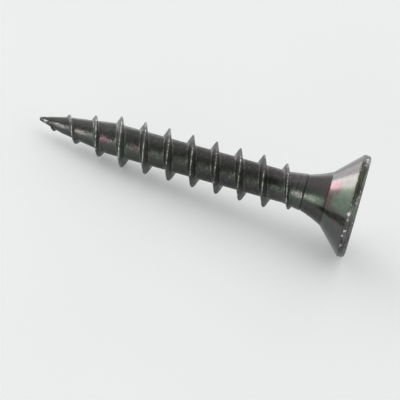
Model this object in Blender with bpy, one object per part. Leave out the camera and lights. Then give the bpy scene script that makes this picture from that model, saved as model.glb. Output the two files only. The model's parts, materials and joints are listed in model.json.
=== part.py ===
"""Chipboard screw, 4 x 25 mm: countersunk head, six-lobe recess, coarse right-hand thread, sharp point.

The screw is one piece of steel. It is modelled along +X with its point at x = 0, and then laid down
as it comes to rest, on the rim of its head and on a thread crest near the point. The finished part
has +Z up, and its origin lies on the floor under the middle of its bounding box. Units are metres.
"""

import math
from enum import IntEnum

import bmesh
import bpy
import numpy as np
from mathutils import Euler, Vector
from mathutils.geometry import convex_hull_2d

MM = 0.001

LENGTH = 25.0 * MM

# Head
HEAD_DIAMETER = 7.9 * MM
RIM_HEIGHT = 0.6 * MM
RIM_ROUND = 0.28 * MM
CONE_EDGE_ROUND = 0.1 * MM
COUNTERSINK_ANGLE = math.radians(90)
CONE_BREAK_DIAMETER = 4.16 * MM

# Curved flare under the countersink, and the neck that the thread runs out on.
# A rolled-in ring marks where the two meet.
FLARE_LENGTH = 1.78 * MM
FLARE_BEND = math.radians(11)
NECK_DIAMETER = 2.86 * MM
NECK_LENGTH = 1.4 * MM
RING_WIDTH = 0.14 * MM
RING_DEPTH = 0.05 * MM

# Thread
THREAD_DIAMETER = 3.86 * MM
CORE_DIAMETER = 2.42 * MM
PITCH = 1.86 * MM
FLANK_ANGLE = math.radians(40)
CREST_WIDTH = 0.06 * MM
RUN_OUT = 2.6 * MM

# Point: a rounded tip with a small flat, a steep cone, then a slim taper. The crest tapers too. It rises out
# of the core in one lead-in, and near the point it runs a little ahead of the even helix.
TIP_FLAT = 0.1 * MM
TIP_LENGTH = 0.11 * MM
TIP_DIAMETER = 0.32 * MM
TIP_BEND = math.radians(60)
POINT_LENGTH = 1.9 * MM
POINT_DIAMETER = 1.28 * MM
CORE_TAPER_LENGTH = 5.6 * MM
THREAD_START = 0.76 * MM
CREST_LEAD_IN = 0.5 * MM
CREST_TAPER_LENGTH = 6.3 * MM
CREST_TAPER_ANGLE = math.radians(28)
CREST_ADVANCE = 0.17 * MM

# Six-lobe recess, driver size 20
LOBES = 6
RECESS_ACROSS_LOBES = 3.95 * MM
RECESS_ACROSS_RIBS = 2.85 * MM
RECESS_LOBE_RADIUS = 0.3 * MM
RECESS_DEPTH = 2.0 * MM
RECESS_DRAFT = math.radians(1.5)
RECESS_BOTTOM_ANGLE = math.radians(120)
MOUTH_FLARE = 0.2 * MM
MOUTH_DEPTH = 0.25 * MM
BOTTOM_DIAMETER = 0.3 * MM

# How far the screw has rolled, to the nearest facet of its rim
ROLLED = math.radians(220)

# Facets
SIDES = 60
FACET = math.tau / SIDES
PROFILE_STEPS = 3
RECESS_STEPS = 5
WELD = 0.001 * MM

# Places along the axis, from the point
RIM_AT = LENGTH - RIM_HEIGHT
BREAK_AT = RIM_AT - (HEAD_DIAMETER - CONE_BREAK_DIAMETER) / 2 / math.tan(COUNTERSINK_ANGLE / 2)
RING_AT = BREAK_AT - FLARE_LENGTH
NECK_AT = RING_AT - NECK_LENGTH

# What the flanks still take up along the axis where the thread has no height left
LEAST_RISE = 0.1 * MM


class Line(IntEnum):
    """The lines of the thread profile on the head's side of its crest. The other side's are negative."""

    CREST = 1
    FOOT = 2
    ROOT = 3


# The profile from root middle to root middle, and the even spacing of its lines while it is swept
PROFILE_LINES = (-Line.ROOT, -Line.FOOT, -Line.CREST, Line.CREST, Line.FOOT, Line.ROOT)
LINE_GAP = PITCH / 2 / Line.ROOT


def interpolate(x, stations):
    """The radius at x on a profile of straight runs between (x, radius) stations."""
    return float(np.interp(x, *zip(*stations)))


def core_radius(x):
    return interpolate(
        x,
        [
            (TIP_LENGTH, TIP_DIAMETER / 2),
            (POINT_LENGTH, POINT_DIAMETER / 2),
            (CORE_TAPER_LENGTH, CORE_DIAMETER / 2),
            (NECK_AT, CORE_DIAMETER / 2),
            (RING_AT, NECK_DIAMETER / 2),
        ],
    )


def crest_radius(x):
    lead_in_end = THREAD_START + CREST_LEAD_IN
    taper_fall = (CREST_TAPER_LENGTH - lead_in_end) * math.tan(CREST_TAPER_ANGLE / 2)
    return interpolate(
        x,
        [
            (THREAD_START, core_radius(THREAD_START)),
            (lead_in_end, THREAD_DIAMETER / 2 - taper_fall),
            (CREST_TAPER_LENGTH, THREAD_DIAMETER / 2),
            (RING_AT - RUN_OUT, THREAD_DIAMETER / 2),
            (RING_AT, NECK_DIAMETER / 2),
        ],
    )


def crest_advance(x):
    """How far what lies at x on the even helix is moved on towards the point."""
    return interpolate(x, [(POINT_LENGTH, CREST_ADVANCE), (CORE_TAPER_LENGTH, 0)])


def sweep_thread(bm):
    """Sweeps one pitch of thread profile along a right-hand helix, as a skin whose turns are welded.

    Each vertex keeps in a layer which line of the profile it lies on, below zero on the point's side.
    """
    line_of = bm.verts.layers.int.new("line")
    turns = math.ceil((RING_AT - THREAD_START) / PITCH) + 1
    first = THREAD_START - PITCH / 2
    profile = []
    for line in PROFILE_LINES:
        vert = bm.verts.new((first + line * LINE_GAP, 0, THREAD_DIAMETER / 2))
        vert[line_of] = line
        profile.append(vert)
    edges = [bm.edges.new(pair) for pair in zip(profile, profile[1:])]
    bmesh.ops.spin(
        bm,
        geom=profile + edges,
        axis=(1, 0, 0),
        dvec=(PITCH / SIDES, 0, 0),
        angle=turns * math.tau,
        steps=turns * SIDES,
    )
    bmesh.ops.remove_doubles(bm, verts=bm.verts, dist=WELD)
    return line_of


def shape_thread(bm, line_of):
    """Moves each vertex of the sweep to its true place on the crest, a flank's foot or the root.

    What reaches past either end of the thread is pressed flat against it, which leaves a clean ring there.
    """
    for vert in bm.verts:
        line = vert[line_of]
        turn = round(math.atan2(-vert.co.y, vert.co.z) / FACET) * FACET
        even_crest = vert.co.x - line * LINE_GAP
        crest_at = even_crest - crest_advance(even_crest)
        rise = max(crest_radius(crest_at) - core_radius(crest_at), 0)
        foot = CREST_WIDTH / 2 + max(rise, LEAST_RISE) * math.tan(FLANK_ANGLE / 2)
        x = {
            Line.CREST: crest_at + math.copysign(CREST_WIDTH / 2, line),
            Line.FOOT: crest_at + math.copysign(foot, line),
            Line.ROOT: vert.co.x - crest_advance(vert.co.x),
        }[abs(line)]
        x = min(max(x, THREAD_START), RING_AT)
        radius = core_radius(x)
        if abs(line) == Line.CREST and THREAD_START < x < RING_AT:
            radius += rise
        vert.co = (x, -radius * math.sin(turn), radius * math.cos(turn))
    bmesh.ops.remove_doubles(bm, verts=bm.verts, dist=WELD)


def arc_between(start, end, bend, steps=PROFILE_STEPS):
    """Points after start on the round arc to end, whose direction turns by bend on the way."""
    chord = Vector(end) - Vector(start)
    heading = math.atan2(chord.y, chord.x)
    diameter = chord.length / math.sin(bend / 2)
    points = []
    for step in range(1, steps + 1):
        swept = bend / 2 * step / steps
        way = heading - bend / 2 + swept
        reach = diameter * math.sin(swept)
        points.append((start[0] + reach * math.cos(way), start[1] + reach * math.sin(way)))
    return points


def head_profile():
    """(x, radius) points from the end of the neck to the edge of the flat face."""
    neck, rim = NECK_DIAMETER / 2, HEAD_DIAMETER / 2
    cone = COUNTERSINK_ANGLE / 2
    setback = CONE_EDGE_ROUND * math.tan(cone / 2)
    cone_break = (BREAK_AT, CONE_BREAK_DIAMETER / 2)
    cone_end = (RIM_AT - setback * math.cos(cone), rim - setback * math.sin(cone))
    face_corner = (LENGTH - RIM_ROUND, rim)
    ring_end = (RING_AT + RING_WIDTH, neck)
    return [
        (RING_AT + RING_WIDTH / 2, neck - RING_DEPTH),
        ring_end,
        *arc_between(ring_end, cone_break, FLARE_BEND),
        cone_end,
        *arc_between(cone_end, (RIM_AT + setback, rim), -cone),
        face_corner,
        *arc_between(face_corner, (LENGTH, rim - RIM_ROUND), -math.pi / 2),
    ]


def tip_profile():
    """(x, radius) points from the steep cone, round the tip, to the edge of its small flat."""
    cone_end = (TIP_LENGTH, TIP_DIAMETER / 2)
    return [cone_end, *arc_between(cone_end, (0, TIP_FLAT / 2), TIP_BEND)]


def open_ring(bm, x):
    """The open edges that lie in the plane at x."""
    return [e for e in bm.edges if e.is_boundary and all(abs(v.co.x - x) < WELD for v in e.verts)]


def extend(bm, ring, x, radius):
    """Draws a wall from an open ring to a new one at x with that radius, and returns the new one."""
    made = bmesh.ops.extrude_edge_only(bm, edges=ring)["geom"]
    for vert in (item for item in made if isinstance(item, bmesh.types.BMVert)):
        across = Vector((0, vert.co.y, vert.co.z)).normalized() * radius
        vert.co = (x, across.y, across.z)
    return [item for item in made if isinstance(item, bmesh.types.BMEdge) and item.is_boundary]


def screw_blank():
    """The whole screw but for its recess, as one closed skin."""
    bm = bmesh.new()
    shape_thread(bm, sweep_thread(bm))
    for start, profile in ((THREAD_START, tip_profile()), (RING_AT, head_profile())):
        ring = open_ring(bm, start)
        for x, radius in profile:
            ring = extend(bm, ring, x, radius)
        bmesh.ops.edgeloop_fill(bm, edges=ring)
    bmesh.ops.recalc_face_normals(bm, faces=bm.faces)
    return bm


def recess_outline(x, offset):
    """The six-lobe outline in the plane at x, widened all round by offset.

    Lobe arcs that bulge outwards are joined by tangent rib arcs that bulge inwards.
    """
    half = math.pi / LOBES
    lobe_radius = RECESS_LOBE_RADIUS + offset
    lobe_out = RECESS_ACROSS_LOBES / 2 - RECESS_LOBE_RADIUS
    rib_flat = RECESS_ACROSS_RIBS / 2 + offset
    lobe_along_rib = lobe_out * math.cos(half)
    rib_radius = (lobe_radius**2 - lobe_out**2 - rib_flat**2 + 2 * rib_flat * lobe_along_rib) / (
        2 * (rib_flat - lobe_along_rib - lobe_radius)
    )
    rib_out = rib_flat + rib_radius
    lobe_sweep = math.atan2(rib_out * math.sin(half), rib_out * math.cos(half) - lobe_out)
    rib_sweep = lobe_sweep - half
    points = []
    for lobe in range(LOBES):
        lobe_way = 2 * half * lobe
        rib_way = lobe_way + half
        rib_back = rib_way + math.pi
        arcs = (
            (lobe_out, lobe_way, lobe_radius, lobe_way - lobe_sweep, lobe_way + lobe_sweep),
            (rib_out, rib_way, rib_radius, rib_back + rib_sweep, rib_back - rib_sweep),
        )
        for out, way, radius, begin, end in arcs:
            for angle in np.linspace(begin, end, RECESS_STEPS + 1)[:-1]:
                y = out * math.cos(way) + radius * math.cos(angle)
                z = out * math.sin(way) + radius * math.sin(angle)
                points.append((x, y, z))
    return points


def bottom_cone(out):
    """Where the cone at the bottom of the recess lies, at a distance out from the axis."""
    return LENGTH - RECESS_DEPTH - (RECESS_ACROSS_LOBES / 2 - out) / math.tan(RECESS_BOTTOM_ANGLE / 2)


def recess_cutter():
    """The space that the driver goes into: a flared mouth, walls with a little draft and a coned bottom."""
    bottom = LENGTH - RECESS_DEPTH
    draft = (RECESS_DEPTH - MOUTH_DEPTH) * math.tan(RECESS_DRAFT)
    wall_ends = []
    bottom_ring = []
    for x, y, z in recess_outline(bottom, -draft):
        out = math.hypot(y, z)
        wall_ends.append((bottom_cone(out), y, z))
        shrink = BOTTOM_DIAMETER / 2 / out
        bottom_ring.append((bottom_cone(BOTTOM_DIAMETER / 2), y * shrink, z * shrink))
    sections = [
        recess_outline(LENGTH + MOUTH_DEPTH, 2 * MOUTH_FLARE),
        recess_outline(LENGTH - MOUTH_DEPTH, 0),
        wall_ends,
        bottom_ring,
    ]
    bm = bmesh.new()
    loops = []
    for section in sections:
        verts = [bm.verts.new(point) for point in section]
        loops.append([bm.edges.new(pair) for pair in zip(verts, verts[1:] + verts[:1])])
    for upper, lower in zip(loops, loops[1:]):
        bmesh.ops.bridge_loops(bm, edges=upper + lower)
    for end in (loops[0], loops[-1]):
        bmesh.ops.edgeloop_fill(bm, edges=end)
    bmesh.ops.recalc_face_normals(bm, faces=bm.faces)
    return bm


def resting_tilt(points):
    """The slope of the floor as the screw would feel it: the lower hull's edge under the screw's middle."""
    side_view = [(point.x, point.z) for point in points]
    hull = [side_view[i] for i in convex_hull_2d(side_view)]
    middle = LENGTH / 2
    under = [
        (a, b)
        for a, b in (sorted(pair) for pair in zip(hull, hull[1:] + hull[:1]))
        if a[0] <= middle <= b[0]
    ]
    start, end = min(under, key=lambda edge: edge[0][1] + edge[1][1])
    return math.atan2(end[1] - start[1], end[0] - start[0])


def lay_down(obj):
    """Rolls the screw onto a facet of its rim, tips it until the thread touches, and sets it on z = 0."""
    roll = (round(ROLLED / FACET - 0.5) + 0.5) * FACET
    rolled = Euler((roll, 0, 0)).to_matrix()
    tilt = resting_tilt([rolled @ vert.co for vert in obj.data.vertices])
    obj.rotation_euler = (roll, tilt, 0)
    turned = obj.rotation_euler.to_matrix()
    places = np.array([turned @ vert.co for vert in obj.data.vertices])
    low, high = places.min(axis=0), places.max(axis=0)
    obj.location = (-(low[0] + high[0]) / 2, -(low[1] + high[1]) / 2, -low[2])


def object_from(bm, name):
    mesh = bpy.data.meshes.new(name)
    bm.to_mesh(mesh)
    bm.free()
    obj = bpy.data.objects.new(name, mesh)
    bpy.context.scene.collection.objects.link(obj)
    return obj


def blackened_steel():
    """Zinc-plated steel with a black passivation, a little green."""
    material = bpy.data.materials.new("blackened_steel")
    material.use_nodes = True
    shader = material.node_tree.nodes["Principled BSDF"]
    shader.inputs["Base Color"].default_value = (0.075, 0.082, 0.075, 1)
    shader.inputs["Metallic"].default_value = 0.9
    shader.inputs["Roughness"].default_value = 0.35
    return material


def main():
    for obj in list(bpy.data.objects):
        bpy.data.objects.remove(obj)

    screw = object_from(screw_blank(), "chipboard_screw")
    screw.data.materials.append(blackened_steel())
    screw.data.shade_smooth()
    screw.data.set_sharp_from_angle(angle=math.radians(25))
    lay_down(screw)

    cutter = object_from(recess_cutter(), "recess_cutter")
    cutter.hide_render = True
    cutter.display_type = "WIRE"
    cutter.rotation_euler = screw.rotation_euler
    cutter.location = screw.location

    recess = screw.modifiers.new("recess", "BOOLEAN")
    recess.operation = "DIFFERENCE"
    recess.object = cutter


if __name__ == "__main__":
    main()
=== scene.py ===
"""Chipboard screw: its finely shaped skin, its worn black finish, and a plain pale studio round it.

The screw is shaped along +X with its tip at x = 0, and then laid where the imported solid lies.
"""

import json
import math
from types import SimpleNamespace

import bmesh
import bpy
import numpy as np
from bpy.props import FloatProperty, FloatVectorProperty, PointerProperty
from bpy.types import Operator, Panel, PropertyGroup
from bpy.utils import register_class, unregister_class
from mathutils import Matrix, Vector, noise


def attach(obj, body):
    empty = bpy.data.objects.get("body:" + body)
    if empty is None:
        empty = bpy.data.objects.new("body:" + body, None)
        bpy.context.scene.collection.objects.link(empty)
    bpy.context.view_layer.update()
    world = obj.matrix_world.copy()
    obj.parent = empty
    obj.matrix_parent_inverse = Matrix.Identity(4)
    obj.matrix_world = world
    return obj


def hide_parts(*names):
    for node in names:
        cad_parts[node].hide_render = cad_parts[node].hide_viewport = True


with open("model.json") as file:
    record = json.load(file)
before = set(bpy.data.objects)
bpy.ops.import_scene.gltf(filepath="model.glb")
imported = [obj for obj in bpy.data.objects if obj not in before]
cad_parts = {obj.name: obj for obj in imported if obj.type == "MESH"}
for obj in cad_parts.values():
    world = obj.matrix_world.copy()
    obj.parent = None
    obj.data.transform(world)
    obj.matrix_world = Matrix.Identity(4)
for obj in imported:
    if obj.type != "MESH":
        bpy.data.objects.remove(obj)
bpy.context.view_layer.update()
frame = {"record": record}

bl_info = {
    "name": "Chipboard screw",
    "version": (1, 0, 0),
    "blender": (4, 5, 0),
    "location": "View3D > Sidebar > Screw",
    "description": "Adds a worn black chipboard screw and a pale studio for it",
    "category": "Add Mesh",
}

MM = 0.001
NODE = "chipboard_screw"
FINISH = "blackened_steel"

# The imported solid's mount lies on the head's flat face, straight above the axis, and points along it
MOUNT = frame["record"]["mounts"][0]
MOUNT_OUT = 2.9 * MM
AXIS = Vector(MOUNT["axis"]).normalized()
ASIDE = Vector((0, 1, 0))
UPWARD = AXIS.cross(ASIDE)

# Facets round the axis, and those of one lobe of the recess
SIDES = 144
FACET = math.tau / SIDES
LOBES = 6
SIDES_PER_LOBE = SIDES // LOBES

# The thread's section from crest to root: shares of its height, spread of the land's lines, and steps
FLANK_SHARES = (1.0, 0.985, 0.95, 0.78, 0.5, 0.2)
CREST_SPREAD = (0, 0.6)
FLANK_END = len(FLANK_SHARES) - 1
FILLET_STEPS = 4
ROOT_STEPS = 4
FILLET_END = FLANK_END + FILLET_STEPS
SECTION_END = FILLET_END + ROOT_STEPS
FILLET_REACH = 0.2

# The section stays as wide as at the least rise, and the finish takes it in full from the clear rise on
LEAST_RISE = 0.1 * MM
CLEAR_RISE = 0.2 * MM

# Vertices nearer to each other than this are one
WELD = 0.001 * MM

# Rings drawn along each part of the point, the head and the recess
POINT_RINGS = 5
TIP_RINGS = 6
GROOVE_RINGS = 3
FLARE_RINGS = 14
CONE_RINGS = 14
CONE_EDGE_RINGS = 4
RIM_RINGS = 5
FACE_EDGE_RINGS = 7
FACE_RINGS = 7
WALL_RINGS = 6

# Wear of those that take some, with 1 for the crests
POINT_WEAR = 0.6
TIP_WEAR = 0.4
CONE_EDGE_WEAR = 0.45
RIM_WEAR = 0.1
FACE_EDGE_WEAR = 0.35
MOUTH_EDGE_WEAR = 0.3

# How much the rounded tip and each half of the ring turn along their length
TIP_BEND = math.radians(66)
GROOVE_BEND = math.radians(40)


def size(name, description, millimetres):
    default = millimetres * MM
    return FloatProperty(name=name, description=description, default=default, unit="LENGTH", precision=5)


def angle(name, description, degrees):
    default = math.radians(degrees)
    return FloatProperty(name=name, description=description, default=default, subtype="ANGLE")


def share(name, description, default):
    settings = {"min": 0, "max": 1, "subtype": "FACTOR"}
    return FloatProperty(name=name, description=description, default=default, **settings)


def factor(name, description, default):
    return FloatProperty(name=name, description=description, default=default, min=0)


def power(name, description, watts):
    return FloatProperty(name=name, description=description, default=watts, min=0, unit="POWER")


def colour(name, description, default):
    settings = {"min": 0, "max": 1, "subtype": "COLOR"}
    return FloatVectorProperty(name=name, description=description, default=default, **settings)


class ScrewForm(PropertyGroup):
    """Sizes of the screw, the same as the solid's."""

    length: size("Length", "From the tip to the head's flat face", 25)
    head_diameter: size("Head diameter", "Across the rim", 7.9)
    rim_height: size("Rim height", "From the countersink to the flat face", 0.6)
    rim_round: size("Rim rounding", "Radius between the rim and the flat face", 0.28)
    cone_edge_round: size("Cone edge rounding", "Radius between the countersink and the rim", 0.1)
    countersink_angle: angle("Countersink angle", "Full angle of the cone under the rim", 90)
    cone_break_diameter: size("Cone break diameter", "Where the countersink meets the flare", 4.16)
    flare_length: size("Flare length", "Curved run from the neck to the countersink", 1.78)
    flare_bend: angle("Flare bend", "How much the flare curves along its length", 11)
    neck_diameter: size("Neck diameter", "Plain shank under the flare", 2.86)
    neck_length: size("Neck length", "Where the core grows to the neck's diameter", 1.4)
    ring_width: size("Ring width", "Rolled-in ring between neck and flare", 0.14)
    ring_depth: size("Ring depth", "Depth of that ring", 0.05)
    thread_diameter: size("Thread diameter", "Over the crests", 3.86)
    core_diameter: size("Core diameter", "Between the crests", 2.42)
    pitch: size("Pitch", "From crest to crest", 1.86)
    flank_angle: angle("Flank angle", "Full angle between a thread's flanks", 40)
    crest_width: size("Crest width", "Narrow land on top of the thread", 0.06)
    run_out: size("Run-out", "Where the thread sinks into the neck", 2.6)
    tip_length: size("Tip length", "Rounded end of the point", 0.11)
    tip_diameter: size("Tip diameter", "Where the rounded end meets the steep cone", 0.32)
    point_length: size("Point length", "From the tip to the end of the steep cone", 1.9)
    point_diameter: size("Point diameter", "At the end of the steep cone", 1.28)
    core_taper_length: size("Core taper", "From the tip to the full core", 5.6)
    thread_start: size("Thread start", "From the tip to where the crest rises", 0.76)
    crest_lead_in: size("Crest lead-in", "Run over which the crest rises out of the core", 0.5)
    crest_taper_length: size("Crest taper", "From the tip to the full thread", 6.3)
    crest_taper_angle: angle("Crest taper angle", "Full angle over the crests near the point", 28)
    crest_advance: size("Crest advance", "How far the crest leads the even helix at the point", 0.17)
    recess_across_lobes: size("Recess across lobes", "Six-lobe recess, driver size 20", 3.95)
    recess_across_ribs: size("Recess across ribs", "Six-lobe recess, between its ribs", 2.85)
    recess_lobe_radius: size("Recess lobe radius", "Radius at each lobe's end", 0.3)
    recess_depth: size("Recess depth", "To the foot of the recess's walls", 2)
    recess_draft: angle("Recess draft", "Lean of the recess's walls", 1.5)
    recess_bottom_angle: angle("Recess bottom angle", "Full angle of the coned bottom", 120)
    mouth_flare: size("Mouth flare", "How far the recess's mouth widens", 0.2)
    mouth_depth: size("Mouth depth", "Depth of the widened mouth", 0.25)
    rolled: angle("Rolled", "How far the screw has rolled about its axis", 219)

    @property
    def rim_at(self):
        return self.length - self.rim_height

    @property
    def break_at(self):
        cone_height = (self.head_diameter - self.cone_break_diameter) / 2
        return self.rim_at - cone_height / math.tan(self.countersink_angle / 2)

    @property
    def ring_at(self):
        return self.break_at - self.flare_length

    @property
    def neck_at(self):
        return self.ring_at - self.neck_length

    @property
    def line_gap(self):
        """Even spacing of the section's lines while it is swept."""
        return self.pitch / 2 / SECTION_END


class ScrewFinish(PropertyGroup):
    """Colours of the black passivation, among them painted highlights, a painted sheen and a painted dark
    reflection, how glossy it is and how far it has worn.
    """

    plain: colour("Plain black", "Most of the surface", (0.122, 0.122, 0.119))
    green: colour("Greenish black", "Parts of the flare and the rim", (0.118, 0.155, 0.118))
    moss: colour("Mossy black", "Parts of the shank", (0.116, 0.124, 0.104))
    # A painted sheen: brighter green where the countersink shows a reflection
    painted_green_sheen: colour("Green sheen", "Parts of the countersink", (0.158, 0.203, 0.156))
    violet: colour("Violet black", "Parts of the neck and the head", (0.136, 0.125, 0.128))
    beige: colour("Beige sheen", "Parts of the countersink", (0.120, 0.115, 0.106))
    dusk: colour("Dusky black", "Lower part of the rim", (0.090, 0.083, 0.085))
    # A painted highlight colour, for pale spots where the point, the neck and the rim catch the light
    painted_highlight: colour("Painted highlight", "Painted highlights on the point, the neck and the rim", (0.270, 0.265, 0.250))
    # A painted highlight colour for the flare
    painted_flare_highlight: colour("Sage sheen", "Painted highlight on the flare", (0.235, 0.275, 0.215))
    # A painted dark reflection: the streak where the countersink mirrors the shank and its shadow
    painted_dark_reflection: colour("Painted dark reflection", "A dark streak on the countersink", (0.024, 0.022, 0.018))
    rose: colour("Rose black", "Round the pinkish spot on the head", (0.130, 0.096, 0.094))
    olive: colour("Olive black", "Parts of the rim", (0.060, 0.064, 0.046))
    pink: colour("Pinkish sheen", "Spots where the film is thinner", (0.175, 0.104, 0.116))
    bare: colour("Bare metal", "Worn edges", (0.56, 0.55, 0.525))
    metallic: share("Metallic", "The rest is the film's own dull black", 0.84)
    bare_roughness: share("Bare metal's roughness", "Worn edges", 0.36)
    ends_paleness: share("Paleness of the shank's ends", "Point and neck, with 1 for the head", 0.74)
    shank_paleness: share("Paleness of the shank", "Film between them, with 1 for the head", 0.47)
    ends_roughness: share("Roughness of the shank's ends", "Point and neck", 0.26)
    shank_roughness: share("Shank roughness", "Core between them", 0.38)
    flank_roughness: share("Flank roughness", "Sides of the thread", 0.5)
    flank_paleness: factor("Flank paleness", "How much paler the flanks' film is", 1.9)
    fillet_roughness: share("Fillet roughness", "Foot of the thread", 0.3)
    # Painted sheen: the thread's foot is made paler where its hollow would catch the light
    fillet_painted_sheen: factor("Fillet paleness", "How much paler the thread's foot is painted, for the sheen its hollow catches", 1.5)
    flare_paleness: share("Flare paleness", "Film between the neck and the countersink", 0.6)
    flare_roughness: share("Flare roughness", "Between the neck and the countersink", 0.28)
    cone_roughness: share("Cone roughness", "Countersink", 0.17)
    rim_roughness: share("Rim roughness", "Outer edge of the head", 0.45)
    rim_paleness: factor("Rim paleness", "How much paler the rim's film is", 1.3)
    wear: share("Wear", "Share of the edges that is worn bare", 0.56)


class ScrewStudio(PropertyGroup):
    """Floor, light and camera."""

    floor: colour("Floor", "Pale floor and background", (0.80, 0.812, 0.812))
    floor_glow: share("Floor glow", "Extra paleness of the floor where it is seen", 0.25)
    window_power: power("Window power", "Soft light on the left", 0.2)
    strip_power: power("Strip power", "Low light on the near left", 0.235)
    camera_distance: size("Camera distance", "From the aim to the camera", 200)
    camera_height: angle("Camera height", "How far the camera looks down across the screw", 29)
    camera_swing: angle("Camera swing", "How far the camera stands round towards the head", 2.9)
    camera_roll: angle("Camera roll", "Slope of the screw in the picture", 15.65)
    view_width: size("View width", "What the picture spans at the screw", 30.196)
    aim_along: size("Aim along", "From the tip along the axis to the picture's middle", 13.371)
    aim_below: size("Aim below", "From the axis down to the picture's middle", 2.684)


# The screw's form


def interpolate(x, stations):
    """The value at x on straight runs between (x, value) stations."""
    return float(np.interp(x, *zip(*stations)))


def core_radius(form, x):
    return interpolate(
        x,
        [
            (form.tip_length, form.tip_diameter / 2),
            (form.point_length, form.point_diameter / 2),
            (form.core_taper_length, form.core_diameter / 2),
            (form.neck_at, form.core_diameter / 2),
            (form.ring_at, form.neck_diameter / 2),
        ],
    )


def crest_radius(form, x):
    full = form.thread_diameter / 2
    lead_in_end = form.thread_start + form.crest_lead_in
    taper_fall = (form.crest_taper_length - lead_in_end) * math.tan(form.crest_taper_angle / 2)
    return interpolate(
        x,
        [
            (form.thread_start, core_radius(form, form.thread_start)),
            (lead_in_end, full - taper_fall),
            (form.crest_taper_length, full),
            (form.ring_at - form.run_out, full),
            (form.ring_at, form.neck_diameter / 2),
        ],
    )


def advanced(form, x):
    """Where what lies at x on the even helix comes to, a little nearer the point."""
    return x - interpolate(x, [(form.point_length, form.crest_advance), (form.core_taper_length, 0)])


def thread_rise(form, crest_at):
    """How far the crest stands out of the core."""
    return max(crest_radius(form, crest_at) - core_radius(form, crest_at), 0)


def around(x, radius, side):
    turn = side * FACET
    return Vector((x, -radius * math.sin(turn), radius * math.cos(turn)))


def flank_offset(form, line, rise):
    """Along the axis, from the middle of the crest to a line on its land or flank."""
    half_land = form.crest_width / 2
    on_land = half_land * CREST_SPREAD[line] if line < len(CREST_SPREAD) else half_land
    return on_land + (1 - FLANK_SHARES[line]) * rise * math.tan(form.flank_angle / 2)


def section_point(form, line, rise):
    """How far from the crest a line of the section lies, and its share of the rise."""
    if line <= FLANK_END:
        return flank_offset(form, line, rise), FLANK_SHARES[line]
    foot = form.crest_width / 2 + rise * math.tan(form.flank_angle / 2)
    begin, end = flank_offset(form, FLANK_END, rise), foot + FILLET_REACH * rise
    t = (line - FLANK_END) / FILLET_STEPS
    offset = (1 - t) ** 2 * begin + 2 * t * (1 - t) * foot + t**2 * end
    return offset, (1 - t) ** 2 * FLANK_SHARES[FLANK_END]


def thread_point(form, swept_x, line, side):
    """The true place of a vertex of the sweep, pressed flat against either end of the thread."""
    step, way = abs(line), math.copysign(1, line)
    even_crest = swept_x - line * form.line_gap
    crest_at = advanced(form, even_crest)
    rise = thread_rise(form, crest_at)
    offset, height = section_point(form, min(step, FILLET_END), max(rise, LEAST_RISE))
    x = crest_at + way * offset
    if step > FILLET_END:
        root_at = advanced(form, even_crest + way * form.pitch / 2)
        x += (root_at - x) * (step - FILLET_END) / ROOT_STEPS
    x = min(max(x, form.thread_start), form.ring_at)
    radius = core_radius(form, x)
    if form.thread_start < x < form.ring_at:
        radius += rise * height
    return around(x, radius, side)


def sweep_thread(form):
    """One pitch of thread swept through a turn of the right-hand helix, and copied turn after turn.

    Layers keep each vertex's line of the section, its side round the axis, how far up the thread
    it lies, and how much wear it takes.
    """
    bm = bmesh.new()
    line_of = bm.verts.layers.int.new("line")
    side_of = bm.verts.layers.int.new("side")
    raised_of = bm.verts.layers.float.new("raised")
    worn_of = bm.verts.layers.float.new("worn")
    turns = math.ceil((form.ring_at - form.thread_start) / form.pitch) + 1
    first = form.thread_start - form.pitch / 2
    section = []
    for line in range(-SECTION_END, SECTION_END + 1):
        vert = bm.verts.new((first + line * form.line_gap, 0, form.thread_diameter / 2))
        vert[line_of] = line
        section.append(vert)
    edges = [bm.edges.new(pair) for pair in zip(section, section[1:])]
    bmesh.ops.spin(
        bm,
        geom=section + edges,
        axis=(1, 0, 0),
        dvec=(form.pitch / SIDES, 0, 0),
        angle=math.tau,
        steps=SIDES,
    )
    first_turn = [*bm.verts, *bm.edges, *bm.faces]
    for turn in range(1, turns):
        copied = bmesh.ops.duplicate(bm, geom=first_turn)["geom"]
        verts = [item for item in copied if isinstance(item, bmesh.types.BMVert)]
        bmesh.ops.translate(bm, verts=verts, vec=(turn * form.pitch, 0, 0))
    bmesh.ops.remove_doubles(bm, verts=bm.verts, dist=WELD)
    for vert in bm.verts:
        line, swept_x = vert[line_of], vert.co.x
        crest_at = advanced(form, swept_x - line * form.line_gap)
        stands_out = min(thread_rise(form, crest_at) / CLEAR_RISE, 1)
        vert[side_of] = round(math.atan2(-vert.co.y, vert.co.z) / FACET) % SIDES
        vert[raised_of] = stands_out * max(1 - abs(line) / FILLET_END, 0)
        vert[worn_of] = stands_out * max(1 - abs(line) / FLANK_END, 0)
        vert.co = thread_point(form, swept_x, line, vert[side_of])
    bmesh.ops.remove_doubles(bm, verts=bm.verts, dist=WELD)
    return bm


def arc_between(start, end, bend, steps):
    """Points after start on the round arc to end, whose direction turns by bend on the way."""
    chord = Vector(end) - Vector(start)
    heading = math.atan2(chord.y, chord.x)
    diameter = chord.length / math.sin(bend / 2)
    points = []
    for step in range(1, steps + 1):
        swept = bend / 2 * step / steps
        way = heading - bend / 2 + swept
        reach = diameter * math.sin(swept)
        points.append((start[0] + reach * math.cos(way), start[1] + reach * math.sin(way)))
    return points


def straight_to(start, end, steps):
    """Points after start on the straight run to end."""
    return [tuple(Vector(start).lerp(Vector(end), step / steps)) for step in range(1, steps + 1)]


def open_ring(bm, x):
    """The open edges that lie in the plane at x."""
    return [e for e in bm.edges if e.is_boundary and all(abs(v.co.x - x) < WELD for v in e.verts)]


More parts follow.
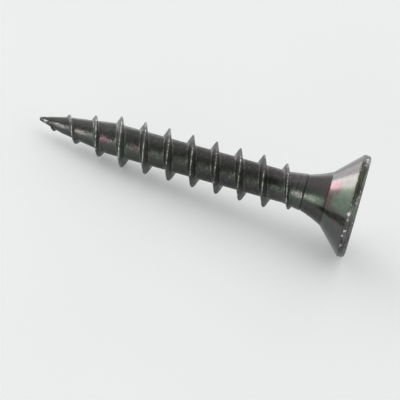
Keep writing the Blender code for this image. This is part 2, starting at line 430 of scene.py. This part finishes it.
def extend(bm, ring, place, worn=0.0):
    """Draws a wall from an open ring to where place puts each of its sides, and returns the new ring."""
    side_of = bm.verts.layers.int["side"]
    raised_of = bm.verts.layers.float["raised"]
    worn_of = bm.verts.layers.float["worn"]
    made = bmesh.ops.extrude_edge_only(bm, edges=ring)["geom"]
    for vert in (item for item in made if isinstance(item, bmesh.types.BMVert)):
        vert.co = place(vert[side_of])
        vert[raised_of] = 0
        vert[worn_of] = worn
    return [item for item in made if isinstance(item, bmesh.types.BMEdge) and item.is_boundary]


def turned(bm, ring, profile, worn=0.0):
    """Draws walls from an open ring through round sections at (x, radius) points."""
    for x, radius in profile:
        ring = extend(bm, ring, lambda side: around(x, radius, side), worn)
    return ring


def close_at(bm, ring, x):
    """Draws the last wall to one point on the axis."""
    ring = extend(bm, ring, lambda side: Vector((x, 0, 0)))
    verts = list({vert for edge in ring for vert in edge.verts})
    bmesh.ops.pointmerge(bm, verts=verts, merge_co=(x, 0, 0))


def add_tip(form, bm):
    """The steep cone from the thread's start, and the rounded end."""
    cone_start = (form.thread_start, core_radius(form, form.thread_start))
    cone_end = (form.tip_length, form.tip_diameter / 2)
    steep_cone = straight_to(cone_start, cone_end, POINT_RINGS)
    ring = turned(bm, open_ring(bm, form.thread_start), steep_cone, POINT_WEAR)
    end = (0, form.tip_diameter / 10)
    ring = turned(bm, ring, arc_between(cone_end, end, TIP_BEND, TIP_RINGS), TIP_WEAR)
    close_at(bm, ring, 0)


def add_head_sides(form, bm):
    """Ring, flare, countersink and rim, as far as the flat face. Returns the open ring there."""
    neck, rim = form.neck_diameter / 2, form.head_diameter / 2
    cone = form.countersink_angle / 2
    setback = form.cone_edge_round * math.tan(cone / 2)
    ring_start, ring_end = (form.ring_at, neck), (form.ring_at + form.ring_width, neck)
    cone_break = (form.break_at, form.cone_break_diameter / 2)
    cone_end = (form.rim_at - setback * math.cos(cone), rim - setback * math.sin(cone))
    rim_start, rim_end = (form.rim_at + setback, rim), (form.length - form.rim_round, rim)
    groove_bottom = (form.ring_at + form.ring_width / 2, neck - form.ring_depth)
    ring = open_ring(bm, form.ring_at)
    for start, end in ((ring_start, groove_bottom), (groove_bottom, ring_end)):
        ring = turned(bm, ring, arc_between(start, end, GROOVE_BEND, GROOVE_RINGS))
    ring = turned(bm, ring, arc_between(ring_end, cone_break, form.flare_bend, FLARE_RINGS))
    ring = turned(bm, ring, straight_to(cone_break, cone_end, CONE_RINGS))
    ring = turned(bm, ring, arc_between(cone_end, rim_start, -cone, CONE_EDGE_RINGS), CONE_EDGE_WEAR)
    ring = turned(bm, ring, straight_to(rim_start, rim_end, RIM_RINGS), RIM_WEAR)
    face_start = (form.length, rim - form.rim_round)
    face_edge = arc_between(rim_end, face_start, -math.pi / 2, FACE_EDGE_RINGS)
    return turned(bm, ring, face_edge, FACE_EDGE_WEAR)


def recess_point(form, x, widened, side):
    """The six-lobe outline in the plane at x, widened all round, on one of the sides round the axis.

    Lobe arcs that bulge outwards are joined by tangent rib arcs that bulge inwards.
    """
    half = math.pi / LOBES
    lobe_radius = form.recess_lobe_radius + widened
    lobe_out = form.recess_across_lobes / 2 - form.recess_lobe_radius
    rib_flat = form.recess_across_ribs / 2 + widened
    lobe_along_rib = lobe_out * math.cos(half)
    rib_radius = (lobe_radius**2 - lobe_out**2 - rib_flat**2 + 2 * rib_flat * lobe_along_rib) / (
        2 * (rib_flat - lobe_along_rib - lobe_radius)
    )
    rib_out = rib_flat + rib_radius
    lobe_sweep = math.atan2(rib_out * math.sin(half), rib_out * math.cos(half) - lobe_out)
    quarter = SIDES_PER_LOBE / 4
    middle = side // SIDES_PER_LOBE * SIDES_PER_LOBE + SIDES_PER_LOBE / 2
    along = (side - middle) / quarter
    lobe_way = middle * FACET
    if abs(along) <= 1:
        facing = lobe_way + lobe_sweep * along
        return around(x, lobe_out, middle) + around(0, lobe_radius, facing / FACET)
    hand = math.copysign(1, along)
    rib_way = lobe_way + hand * half
    facing = rib_way + math.pi + hand * (lobe_sweep - half) * (2 - abs(along))
    return around(x, rib_out, rib_way / FACET) + around(0, rib_radius, facing / FACET)


def bottom_cone(form, out):
    """Where the cone at the bottom of the recess lies, at a distance out from the axis."""
    rise = (form.recess_across_lobes / 2 - out) / math.tan(form.recess_bottom_angle / 2)
    return form.length - form.recess_depth - rise


# The mouth's outline on the flat face, as a share of how far the mouth widens
MOUTH_OUTLINE = 1.12


def add_face(form, bm, ring):
    """The flat face, drawn in from its round edge to the outline of the recess's mouth."""
    face_radius = form.head_diameter / 2 - form.rim_round
    widened = form.mouth_flare * MOUTH_OUTLINE

    def between(side, share_in):
        mouth = recess_point(form, form.length, widened, side)
        return around(form.length, face_radius, side).lerp(mouth, share_in)

    for step in range(1, FACE_RINGS + 1):
        worn = MOUTH_EDGE_WEAR if step == FACE_RINGS else 0.0
        ring = extend(bm, ring, lambda side: between(side, step / FACE_RINGS), worn)
    return ring


# Rings of the recess's rounded mouth: shares of its depth and of its widening, and wear
MOUTH_STEPS = (
    (0.04, 0.95, 0.6),
    (0.12, 0.84, 0.5),
    (0.5, 0.5, 0.2),
    (0.88, 0.13, 0),
    (1, 0.04, 0),
    (1.2, 0, 0),
)

# Rings of the recess's bottom, as shares of the outline at the foot of its walls
BOTTOM_SHARES = (0.92, 0.75, 0.5, 0.25, 0.08)


def add_recess(form, bm, ring):
    """The rounded mouth, the walls with a little draft, and the coned bottom, closed on the axis."""
    deep = form.mouth_depth
    for down, out, worn in MOUTH_STEPS:
        x, widened = form.length - down * deep, out * form.mouth_flare
        ring = extend(bm, ring, lambda side: recess_point(form, x, widened, side), worn)
    bottom = form.length - form.recess_depth
    lean = (form.recess_depth - deep) * math.tan(form.recess_draft)

    def wall(side, step):
        point = recess_point(form, form.length - deep, -lean * step / WALL_RINGS, side)
        foot = bottom_cone(form, math.hypot(point.y, point.z))
        point.x += (foot - point.x) * step / WALL_RINGS
        return point

    for step in range(1, WALL_RINGS + 1):
        ring = extend(bm, ring, lambda side: wall(side, step))

    def floor(side, kept):
        point = recess_point(form, bottom, -lean, side) * kept
        point.x = bottom_cone(form, math.hypot(point.y, point.z))
        return point

    for kept in BOTTOM_SHARES:
        ring = extend(bm, ring, lambda side: floor(side, kept))
    close_at(bm, ring, bottom_cone(form, 0))


# Unevenness of the skin: depth in mm, scale of its noise, and for dents what the noise has to rise over
SKIN_WAVE = (0.004, 2.3)
CREST_WAVE = (0.014, 1.4)
CREST_DENT = (0.16, 2.9, 0.38)
NECK_WAVE = (0.014, 1)
NECK_CROWDING = 5
RIM_WAVE = (0.012, 0.8)
RIM_DENT = (0.1, 2.2, 0.4)
CHIP_DEPTH = 0.03


def wave(place, depth, scale):
    """A smooth rise or fall of the skin, in mm."""
    return depth * noise.noise(place * scale)


def dent(place, depth, scale, threshold):
    """How deep the skin is dented, in mm: not at all in most places."""
    return depth * max(noise.noise(place * scale) - threshold, 0)


# Chipped places on the rim, and bare spots along its middle and face edge that are painted highlights as
# well as wear: degrees round the axis, place along it and reach in mm, and wear
RIM_CHIPS_AND_HIGHLIGHTS = (
    (-148, 24.42, 0.12, 1.5),
    (-141, 24.5, 0.08, 1.5),
    (-128, 24.46, 0.1, 1.5),
    (-121, 24.4, 0.09, 1.5),
    (-106, 24.52, 0.13, 1.5),
    (-62, 24.5, 0.12, 1.5),
    (17, 24.45, 0.1, 1.5),
    (66, 24.5, 0.14, 1.5),
    (121, 24.45, 0.09, 1.5),
    # From here on, bare spots where the rim shows pale streaks: painted highlights, each with a slight
    # dent
    (137, 24.66, 0.24, 0.7),
    (143, 24.72, 0.26, 0.75),
    (149, 24.78, 0.2, 0.7),
    (-160, 24.78, 0.12, 0.9),
    (-163, 24.78, 0.1, 0.8),
    (-166, 24.79, 0.12, 0.9),
)


def wear_down(form, bm):
    """Takes the evenness off: wavy nicked crests, a dented and chipped rim, and a wrinkled neck."""
    worn_of = bm.verts.layers.float["worn"]
    rim = form.head_diameter / 2
    chips_and_highlights = [
        (around(at * MM, rim, math.radians(turn) / FACET), reach * MM, wear)
        for turn, at, reach, wear in RIM_CHIPS_AND_HIGHLIGHTS
    ]
    for vert in bm.verts:
        place = vert.co / MM
        across = Vector((0, vert.co.y, vert.co.z))
        if across.length < form.tip_diameter / 4 or vert.co.x > form.length - WELD:
            continue
        push = wave(place, *SKIN_WAVE)
        if form.thread_start < vert.co.x < form.ring_at and vert[worn_of] > 0:
            push += vert[worn_of] * (wave(place, *CREST_WAVE) - dent(place, *CREST_DENT))
        if form.neck_at + form.neck_length / 3 < vert.co.x < form.ring_at:
            push += wave(Vector((place.x * NECK_CROWDING, place.y, place.z)), *NECK_WAVE)
        if vert.co.x > form.rim_at - form.cone_edge_round:
            push += vert[worn_of] * (wave(place, *RIM_WAVE) - dent(place, *RIM_DENT))
        for chip, reach, wear in chips_and_highlights:
            near = max(1 - (vert.co - chip).length / reach, 0)
            if near:
                push -= CHIP_DEPTH * near * wear
                vert[worn_of] = max(vert[worn_of], wear)
        vert.co += across.normalized() * push * MM


def screw_skin(form):
    """The whole screw along +X with its tip at x = 0, as one closed skin."""
    bm = sweep_thread(form)
    add_tip(form, bm)
    ring = add_head_sides(form, bm)
    ring = add_face(form, bm, ring)
    add_recess(form, bm, ring)
    wear_down(form, bm)
    bmesh.ops.recalc_face_normals(bm, faces=bm.faces)
    open_edges = sum(not edge.is_manifold for edge in bm.edges)
    if open_edges:
        raise RuntimeError(f"The screw's skin has {open_edges} open edges")
    return bm


def resting_place(form):
    """The matrix that lays the screw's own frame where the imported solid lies."""
    tip = Vector(MOUNT["pos_m"]) - UPWARD * MOUNT_OUT - AXIS * form.length
    level = Matrix((AXIS, ASIDE, UPWARD)).transposed()
    rolled = level @ Matrix.Rotation(form.rolled, 3, "X")
    return Matrix.Translation(tip) @ rolled.to_4x4()


# Shaders


class Socket:
    """A node's output. Python's operators on it add Math nodes."""

    def __init__(self, shader, output):
        self.shader = shader
        self.output = output

    def math(self, operation, *values):
        return self.shader.add("ShaderNodeMath", {"operation": operation}, dict(enumerate(values)))

    def __add__(self, other):
        return self.math("ADD", self, other)

    def __radd__(self, other):
        return self.math("ADD", other, self)

    def __sub__(self, other):
        return self.math("SUBTRACT", self, other)

    def __rsub__(self, other):
        return self.math("SUBTRACT", other, self)

    def __mul__(self, other):
        return self.math("MULTIPLY", self, other)

    def __rmul__(self, other):
        return self.math("MULTIPLY", other, self)

    def __truediv__(self, other):
        return self.math("DIVIDE", self, other)

    def __pow__(self, other):
        return self.math("POWER", self, other)

    def most(self, other):
        return self.math("MAXIMUM", self, other)

    def magnitude(self):
        return self.math("ABSOLUTE", self)

    def between(self, low, high):
        """0 below low, 1 above high and a smooth step from one to the other."""
        inputs = {"Value": self, "From Min": low, "From Max": high}
        return self.shader.add("ShaderNodeMapRange", {"interpolation_type": "SMOOTHSTEP"}, inputs)


class Shader:
    """Adds nodes to one material's or world's tree."""

    def __init__(self, tree):
        self.tree = tree

    def add(self, kind, settings=None, inputs=None, output=0):
        """Adds a node, its settings first and then its sockets' values or links. Returns an output."""
        node = self.tree.nodes.new(kind)
        for name, value in (settings or {}).items():
            setattr(node, name, value)
        for name, value in (inputs or {}).items():
            self.feed(node.inputs[name], value)
        return Socket(self, node.outputs[output]) if node.outputs else None

    def feed(self, target, value):
        if isinstance(value, Socket):
            self.tree.links.new(value.output, target)
        else:
            target.default_value = value

    def mix(self, factor, low, high):
        return self.add("ShaderNodeMix", {"data_type": "RGBA"}, {0: factor, 6: low, 7: high}, 2)

    def scaled(self, tint, factor):
        return self.add("ShaderNodeVectorMath", {"operation": "SCALE"}, {0: tint, "Scale": factor})

    def noise(self, vector, scale, detail=2.0, roughness=0.5):
        inputs = {"Vector": vector, "Scale": scale, "Detail": detail, "Roughness": roughness}
        return self.add("ShaderNodeTexNoise", None, inputs)

    def attribute(self, name):
        return self.add("ShaderNodeAttribute", {"attribute_name": name}, None, "Fac")

    def split(self, vector):
        node = self.add("ShaderNodeSeparateXYZ", None, {0: vector}).output.node
        return [Socket(self, output) for output in node.outputs]

    def vector(self, operation, *values, output=0):
        """A Vector Math node over values, which are vectors."""
        inputs = dict(enumerate(values))
        return self.add("ShaderNodeVectorMath", {"operation": operation}, inputs, output)

    def stretched(self, vector, along, across):
        """The vector with its axial part scaled by one number and its other parts by another."""
        return self.vector("MULTIPLY", vector, (along, across, across))

    def band(self, value, middle, reach):
        """1 where the value is at the middle, falling smoothly to 0 at reach from it."""
        return 1.0 - (value - middle).magnitude().between(reach * 0.3, reach)

    def near(self, vector, centre, reach):
        """1 at centre, falling smoothly to 0 where the vector is its reach away."""
        shares = self.vector("DIVIDE", self.vector("SUBTRACT", vector, centre), reach)
        return 1.0 - self.vector("LENGTH", shares, output="Value").between(0.4, 1.0)


def opaque(tint):
    return (*tint, 1.0)


def new_material(name):
    material = bpy.data.materials.new(name)
    material.use_nodes = True
    return material, Shader(material.node_tree), material.node_tree.nodes["Principled BSDF"]


# Patches of the film, with painted highlights, a painted sheen and a painted dark reflection among them:
# mm from the tip, degrees round the axis, reach in mm and in degrees, and colour
FILM_PATCHES = (
    (16.0, 165, 9.0, 40, "violet"),
    (13.0, -158, 9.0, 40, "moss"),
    (2.0, -150, 1.6, 60, "plain"),
    (3.4, -148, 0.7, 26, "rose"),
    (5.2, -145, 0.5, 26, "pink"),
    (7.65, -145, 0.35, 24, "rose"),
    # The next two are painted highlights on the point
    (1.65, -146, 0.7, 24, "painted_highlight"),
    (3.3, -144, 0.6, 18, "painted_highlight"),
    (7.4, 163, 1.2, 26, "dusk"),
    (18.2, -165, 0.9, 20, "olive"),
    # A painted highlight on the neck
    (20.4, -143, 0.8, 13, "painted_highlight"),
    # A painted highlight on the flare
    (21.6, -141, 0.9, 7, "painted_flare_highlight"),
    (21.7, -158, 1.2, 16, "green"),
    (21.6, 165, 1.6, 40, "violet"),
    (22.0, 20, 1.2, 60, "violet"),
    (23.8, 148, 2.0, 30, "violet"),
    (23.8, -182, 2.0, 24, "beige"),
    # A painted green sheen on the countersink
    (23.6, -160, 1.5, 24, "painted_green_sheen"),
    (23.5, -20, 1.8, 40, "beige"),
    (23.7, 60, 2.0, 40, "green"),
    # The next two are a painted dark reflection on the countersink
    (22.7, -132, 1.1, 7.5, "painted_dark_reflection"),
    (23.9, -136, 1.2, 8, "painted_dark_reflection"),
    (22.6, -165, 0.5, 30, "rose"),
    (23.1, -177, 0.5, 16, "rose"),
    # The next two are painted highlights: pale streaks on the rim
    (24.72, 143, 0.28, 14, "painted_highlight"),
    (24.8, -163, 0.16, 12, "painted_highlight"),
    (24.44, 166, 0.14, 46, "olive"),
    (24.6, 166, 0.3, 40, "olive"),
    (24.6, -115, 0.5, 38, "dusk"),
    (24.48, 20, 0.25, 50, "olive"),
    (22.86, 177, 0.6, 15, "pink"),
    (22.45, 172, 0.14, 12, "pink"),
    (19.2, 20, 0.8, 40, "rose"),
    (12.3, 60, 0.7, 40, "rose"),
    (23.4, 40, 0.6, 16, "rose"),
)


def surface_frame(shader, form):
    """Object coordinates turned into the screw's own frame, in millimetres."""
    place = resting_place(form)
    inputs = {
        "Vector": shader.add("ShaderNodeTexCoord", None, None, "Object"),
        "Location": place.translation,
        "Rotation": place.to_euler(),
        "Scale": (MM, MM, MM),
    }
    return shader.add("ShaderNodeMapping", {"vector_type": "TEXTURE"}, inputs)


# Largest share of green in the plain film, a patch's strength where it is faintest, and the mottling
GREEN_SHARE = 0.55
PATCH_LEAST = 0.6
MOTTLING = 0.6


def film_colour(shader, finish, on_screw):
    """The black film: plain, with green, violet, beige and pink patches, painted highlights, a painted
    green sheen and a painted dark reflection, all a little mottled.
    """
    along, y, z = shader.split(on_screw)
    out = (y * y + z * z) ** 0.5
    spot = shader.add("ShaderNodeCombineXYZ", None, {0: along, 1: y / out, 2: z / out})
    greened = shader.noise(on_screw, scale=0.8, detail=1.5).between(0.4, 0.66) * GREEN_SHARE
    tint = shader.mix(greened, opaque(finish.plain), opaque(finish.green))
    filled = shader.noise(on_screw, scale=2.2, detail=3.0, roughness=0.6).between(0.3, 0.6)
    strength = PATCH_LEAST + filled * (1.0 - PATCH_LEAST)
    for place, turn, reach, spread, name in FILM_PATCHES:
        centre = around(place, 1.0, math.radians(turn) / FACET)
        width = 2 * math.sin(math.radians(spread) / 2)
        patch = shader.near(spot, centre, (reach, width, width)) * strength
        tint = shader.mix(patch, tint, opaque(getattr(finish, name)))
    mottle = shader.noise(on_screw, scale=2.6, detail=4.0, roughness=0.6)
    return shader.scaled(tint, 0.7 + mottle * MOTTLING)


# Where the shank's own finish fades in and starts to fade out, in mm from the tip
SHANK_BEGINS = (6.0, 12.0)
SHANK_ENDS = 17.5

# Widths in mm of a soft border, a sharp border and a dark line
SOFT_BORDER = 0.6
SHARP_BORDER = 0.04
LINE_REACH = 0.07


def finish_zones(shader, form, on_screw):
    """Where each part of the screw is, as 1 on it and 0 off it."""
    along = shader.split(on_screw)[0]
    neck_at, ring_at = form.neck_at / MM, form.ring_at / MM
    break_at, rim_at = form.break_at / MM, form.rim_at / MM
    raised = shader.attribute("raised")
    flank = raised.between(0.38, 0.5)
    face = along.between(form.length / MM - 0.1, form.length / MM - 0.02)
    past_ring = along.between(ring_at, ring_at + 0.2)
    return SimpleNamespace(
        shank=along.between(*SHANK_BEGINS) * (1.0 - along.between(SHANK_ENDS, neck_at + SOFT_BORDER)),
        flank=flank,
        fillet=raised.between(0.02, 0.15) * (1.0 - flank),
        neck=along.between(neck_at, neck_at + SOFT_BORDER) * (1.0 - past_ring),
        groove=shader.band(along, ring_at + form.ring_width / MM / 2, LINE_REACH),
        head=along.between(ring_at, ring_at + SOFT_BORDER / 2),
        crease=shader.band(along, break_at, LINE_REACH),
        cone=along.between(break_at - SHARP_BORDER, break_at + SHARP_BORDER),
        rim=along.between(rim_at - SHARP_BORDER, rim_at + SHARP_BORDER / 2) * (1.0 - face),
        face=face,
    )


# Crests on the shank are worn bare most on this side, in degrees round the axis, which faces the camera,
# and on the side opposite: there the bare metal is a painted glint as well as wear.
# Shares of the wear that they are spared, away from those sides and on them.
GLINT_SIDE = -158
SPARED_AWAY = 0.42
SPARED_THERE = 0.08


def bared_share(shader, finish, on_screw, zones):
    """1 where the film is worn through: ragged spots on the edges that the skin's wear marks, with the
    shank's crests bared most on the side facing the camera as painted glints.
    """
    across = shader.vector("NORMALIZE", shader.vector("MULTIPLY", on_screw, (0, 1, 1)))
    side = around(0, 1.0, math.radians(GLINT_SIDE) / FACET)
    towards = shader.vector("DOT_PRODUCT", across, side, output="Value").magnitude()
    # Painted glints: the crests' bare metal gathers on the side facing the camera and on the side
    # opposite
    on_glint_side = towards.between(0.66, 0.93)
    spared = SPARED_AWAY - on_glint_side * (SPARED_AWAY - SPARED_THERE)
    worn = shader.attribute("worn") * (1.0 - zones.shank * spared)
    ragged = shader.noise(on_screw, scale=4.4, detail=3.0, roughness=0.6)
    least = 1.15 - finish.wear * 0.4
    return (ragged + worn * (ragged * 2.0 - 0.45)).between(least, least + 0.12)


# How much paler the shank's pale speckles are, which are wear flecks and painted glints off tiny pits,
# and how much darker three parts of the head
FLECK_AND_GLINT_PALENESS = 0.9
GROOVE_DARKENING = 0.4
CREASE_DARKENING = 0.5
FACE_DARKENING = 0.2


def film_paleness(shader, finish, on_screw, zones):
    """How pale the film is, with 1 for the countersink: even parts first, then what makes them uneven,
    with painted glints on the shank and a painted sheen at the thread's foot among them.
    """
    paleness = finish.ends_paleness + (1.0 - finish.ends_paleness) * zones.cone
    paleness = paleness + (finish.shank_paleness - finish.ends_paleness) * zones.shank
    paleness = paleness + (finish.flare_paleness - finish.ends_paleness) * zones.head * (1.0 - zones.cone)
    paleness = paleness * (1.0 - zones.groove * GROOVE_DARKENING)
    paleness = paleness * (1.0 - zones.crease * CREASE_DARKENING)
    # Pale speckles on the shank: wear flecks and painted glints off tiny pits
    flecks_and_glints = shader.noise(on_screw, scale=5.5).between(0.58, 0.7)
    paleness = paleness * (1.0 + flecks_and_glints * FLECK_AND_GLINT_PALENESS * zones.shank)
    blotches = shader.noise(on_screw, scale=3.3, detail=3.0, roughness=0.6).between(0.36, 0.7)
    blotched = 0.74 + blotches * 0.7
    paleness = paleness * (1.0 + zones.flank * (finish.flank_paleness * blotched - 1.0))
    # Painted sheen at the thread's foot
    paleness = paleness * (1.0 + zones.fillet * (finish.fillet_painted_sheen * blotched - 1.0))
    brushed = shader.stretched(on_screw, along=11.0, across=1.2)
    streaked = 0.5 + shader.noise(brushed, scale=1.0).between(0.3, 0.7)
    paleness = paleness * (1.0 + zones.rim * (finish.rim_paleness * streaked - 1.0))
    return paleness * (1.0 - zones.face * FACE_DARKENING)


# How far the film's roughness strays
ROUGHNESS_SPREAD = 0.18


def film_roughness(shader, finish, on_screw, zones):
    """How rough the film is, part by part and a little uneven."""
    rough = finish.ends_roughness + (finish.shank_roughness - finish.ends_roughness) * zones.shank
    to_flank = (finish.flank_roughness - rough) * zones.flank
    to_fillet = (finish.fillet_roughness - rough) * zones.fillet
    rough = rough + to_flank + to_fillet
    rough = rough + (finish.flare_roughness - finish.ends_roughness) * zones.head
    rough = rough + (finish.cone_roughness - finish.flare_roughness) * zones.cone
    rough = rough + (finish.rim_roughness - finish.cone_roughness) * zones.rim
    return rough + (shader.noise(on_screw, scale=3.2, detail=3.0) - 0.5) * ROUGHNESS_SPREAD


# Depths of the fine relief, in mm
GRAIN_DEPTH = 0.0016
ROLLED_DEPTH = 0.024
RIDGE_DEPTH = 0.06
PIT_DEPTH = 0.042
FACE_DEPTH = 0.004


def film_relief(shader, on_screw, zones):
    """Height of the fine relief, in mm: grain, rolling marks, neck ridges, pits and marks on the face."""
    strength = 1.0 - zones.head * 0.75 - zones.cone * 0.18 + zones.rim * 0.5 + zones.flank * 0.4
    grain = shader.noise(on_screw, scale=14.0) * GRAIN_DEPTH
    rolling = shader.stretched(on_screw, along=4.2, across=0.8)
    rolled = shader.noise(rolling, scale=1.0) * ROLLED_DEPTH * strength
    ridging = shader.stretched(on_screw, along=5.5, across=0.6)
    ridges = shader.noise(ridging, scale=1.0, detail=1.0) * RIDGE_DEPTH * zones.neck
    pits = shader.noise(on_screw, scale=4.4, detail=4.0, roughness=0.65)
    pitted = pits * PIT_DEPTH * strength * (1.0 - zones.face * 0.7)
    on_face = shader.stretched(on_screw, along=0.0, across=3.0)
    marked = shader.noise(on_face, scale=1.0, detail=3.0) * FACE_DEPTH * zones.face
    return grain + rolled + ridges + pitted + marked


def blackened_steel(form, finish):
    """Black passivated zinc on steel: dull on the thread, glossier on the head, bare on worn edges, with
    highlights, a sheen and a dark reflection painted into its colour in places.
    """
    material, shader, surface = new_material(FINISH)
    on_screw = surface_frame(shader, form)
    zones = finish_zones(shader, form, on_screw)
    bared = bared_share(shader, finish, on_screw, zones)
    paleness = film_paleness(shader, finish, on_screw, zones)
    tint = shader.scaled(film_colour(shader, finish, on_screw), paleness)
    shader.feed(surface.inputs["Base Color"], shader.mix(bared, tint, opaque(finish.bare)))
    rough = film_roughness(shader, finish, on_screw, zones)
    shader.feed(surface.inputs["Roughness"], rough + (finish.bare_roughness - rough) * bared)
    surface.inputs["Metallic"].default_value = finish.metallic
    relief = {"Height": film_relief(shader, on_screw, zones), "Distance": MM, "Strength": 1.0}
    shader.feed(surface.inputs["Normal"], shader.add("ShaderNodeBump", None, relief))
    return material


def seen_directly(shader):
    """1 for what the camera sees, also by way of a reflection or through glass."""
    seen = shader.add("ShaderNodeLightPath", None, None, "Is Camera Ray")
    for kind in ("Is Glossy Ray", "Is Transmission Ray"):
        seen = seen.most(shader.add("ShaderNodeLightPath", None, None, kind))
    return seen


def pale_floor(studio):
    """Smooth pale board, a little mottled, that keeps the screw's shadow and shows pale to the camera."""
    material, shader, surface = new_material("pale_floor")
    place = shader.add("ShaderNodeTexCoord", None, None, "Object")
    cloudy = shader.noise(place, scale=60.0, detail=3.0)
    tint = shader.scaled(tuple(studio.floor), 0.97 + cloudy * 0.06)
    shader.feed(surface.inputs["Base Color"], tint)
    shader.feed(surface.inputs["Roughness"], 0.45 + cloudy * 0.1)
    surface.inputs["Specular IOR Level"].default_value = 0.25
    glow = shader.scaled(tuple(studio.floor), seen_directly(shader) * studio.floor_glow)
    shader.feed(surface.inputs["Emission Color"], glow)
    surface.inputs["Emission Strength"].default_value = 1.0
    return material


# Studio

# Sensor width in mm, and the floor's reach from its middle in metres
SENSOR_WIDTH = 36
FLOOR_REACH = 2.0
FLOOR_CELLS = 8

# Soft lights: name, the studio's setting for its power, place, width and height in metres
LAMPS = (
    ("window", "window_power", (-0.30, 0.15, 0.062), 0.14, 0.12),
    ("strip", "strip_power", (-0.136, -0.267, 0.025), 0.23, 0.046),
)

# How much dimmer the room is overhead and where the camera stands, and how much brighter at the back left
OVERHEAD_DIMMING = 0.12
CAMERA_SIDE_DIMMING = 0.74
BACK_LEFT_GLOW = 1.3
BACK_LEFT = (-0.6, 0.8, 0.0)


def make_object(name, bm, material):
    mesh = bpy.data.meshes.new(name)
    bm.to_mesh(mesh)
    bm.free()
    mesh.materials.append(material)
    obj = bpy.data.objects.new(name, mesh)
    bpy.context.scene.collection.objects.link(obj)
    return obj


def camera_axes(studio):
    """The camera's right, up and forward directions before it is rolled."""
    up = ASIDE * math.sin(studio.camera_height) + UPWARD * math.cos(studio.camera_height)
    across = ASIDE * math.cos(studio.camera_height) - UPWARD * math.sin(studio.camera_height)
    forward = across * math.cos(studio.camera_swing) - AXIS * math.sin(studio.camera_swing)
    return forward.cross(up), up, forward


def add_camera(form, studio):
    right, up, forward = camera_axes(studio)
    tip = resting_place(form).translation
    aim = tip + AXIS * studio.aim_along - up * studio.aim_below
    data = bpy.data.cameras.new("camera")
    data.sensor_width = SENSOR_WIDTH
    data.lens = data.sensor_width * studio.camera_distance / studio.view_width
    camera = bpy.data.objects.new("camera", data)
    bpy.context.scene.collection.objects.link(camera)
    facing = Matrix((right, up, -forward)).transposed() @ Matrix.Rotation(studio.camera_roll, 3, "Z")
    camera.matrix_world = Matrix.Translation(aim - forward * studio.camera_distance) @ facing.to_4x4()
    bpy.context.scene.camera = camera


def add_lamp(name, power, place, width, height):
    """A soft rectangular light that faces the screw, and that the camera doesn't see."""
    data = bpy.data.lights.new(name, "AREA")
    data.shape = "RECTANGLE"
    data.size = width
    data.size_y = height
    data.energy = power
    lamp = bpy.data.objects.new(name, data)
    lamp.location = place
    lamp.rotation_euler = Vector(place).to_track_quat("Z", "Y").to_euler()
    lamp.visible_camera = False
    bpy.context.scene.collection.objects.link(lamp)


def light_room(studio):
    """A pale room: brightest low at the back left, dimmer overhead and where the camera stands."""
    world = bpy.data.worlds.new("room")
    bpy.context.scene.world = world
    world.use_nodes = True
    shader = Shader(world.node_tree)
    direction = shader.add("ShaderNodeTexCoord", None, None, "Generated")
    height = shader.split(direction)[2]
    to_camera = -camera_axes(studio)[2]
    facing = shader.vector("DOT_PRODUCT", direction, to_camera, output="Value")
    behind = shader.vector("DOT_PRODUCT", direction, BACK_LEFT, output="Value")
    level = 1.0 - OVERHEAD_DIMMING * height.between(0.05, 0.8)
    level = level * (1.0 - CAMERA_SIDE_DIMMING * facing.between(0.35, 0.95))
    level = level + BACK_LEFT_GLOW * behind.between(0.55, 1.0) * (1.0 - height.between(0.1, 0.45))
    background = world.node_tree.nodes["Background"]
    shader.feed(background.inputs["Color"], shader.scaled((1, 1, 1), level))


class MESH_OT_chipboard_screw(Operator):
    """Add the screw in place of its plain solid"""

    bl_idname = "mesh.chipboard_screw"
    bl_label = "Add screw"

    def execute(self, context):
        form, finish = context.scene.screw_form, context.scene.screw_finish
        bm = screw_skin(form)
        bmesh.ops.transform(bm, matrix=resting_place(form), verts=bm.verts)
        screw = make_object("screw", bm, blackened_steel(form, finish))
        screw.data.shade_smooth()
        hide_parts(NODE)
        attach(screw, "root")
        return {"FINISHED"}


class SCENE_OT_screw_studio(Operator):
    """Add the pale floor, the soft light and the camera"""

    bl_idname = "scene.screw_studio"
    bl_label = "Add studio"

    def execute(self, context):
        form, studio = context.scene.screw_form, context.scene.screw_studio
        bm = bmesh.new()
        bmesh.ops.create_grid(bm, x_segments=FLOOR_CELLS, y_segments=FLOOR_CELLS, size=FLOOR_REACH)
        floor = make_object("floor", bm, pale_floor(studio))
        light_room(studio)
        for name, setting, place, width, height in LAMPS:
            add_lamp(name, getattr(studio, setting), place, width, height)
        add_camera(form, studio)
        context.scene.view_settings.view_transform = "Standard"
        return {"FINISHED"}


class VIEW3D_PT_chipboard_screw(Panel):
    """Lists what this add-on builds"""

    bl_label = "Chipboard screw"
    bl_space_type = "VIEW_3D"
    bl_region_type = "UI"
    bl_category = "Screw"

    def draw(self, context):
        for operator in (MESH_OT_chipboard_screw, SCENE_OT_screw_studio):
            self.layout.operator(operator.bl_idname)
        for group in (context.scene.screw_form, context.scene.screw_finish, context.scene.screw_studio):
            column = self.layout.column()
            for name in group.__annotations__:
                column.prop(group, name)


CLASSES = (
    ScrewForm,
    ScrewFinish,
    ScrewStudio,
    MESH_OT_chipboard_screw,
    SCENE_OT_screw_studio,
    VIEW3D_PT_chipboard_screw,
)


def register():
    for cls in CLASSES:
        register_class(cls)
    bpy.types.Scene.screw_form = PointerProperty(type=ScrewForm)
    bpy.types.Scene.screw_finish = PointerProperty(type=ScrewFinish)
    bpy.types.Scene.screw_studio = PointerProperty(type=ScrewStudio)


def unregister():
    del bpy.types.Scene.screw_studio
    del bpy.types.Scene.screw_finish
    del bpy.types.Scene.screw_form
    for cls in reversed(CLASSES):
        unregister_class(cls)


def main():
    register()
    bpy.ops.mesh.chipboard_screw()
    bpy.ops.scene.screw_studio()


if __name__ == "__main__":
    main()
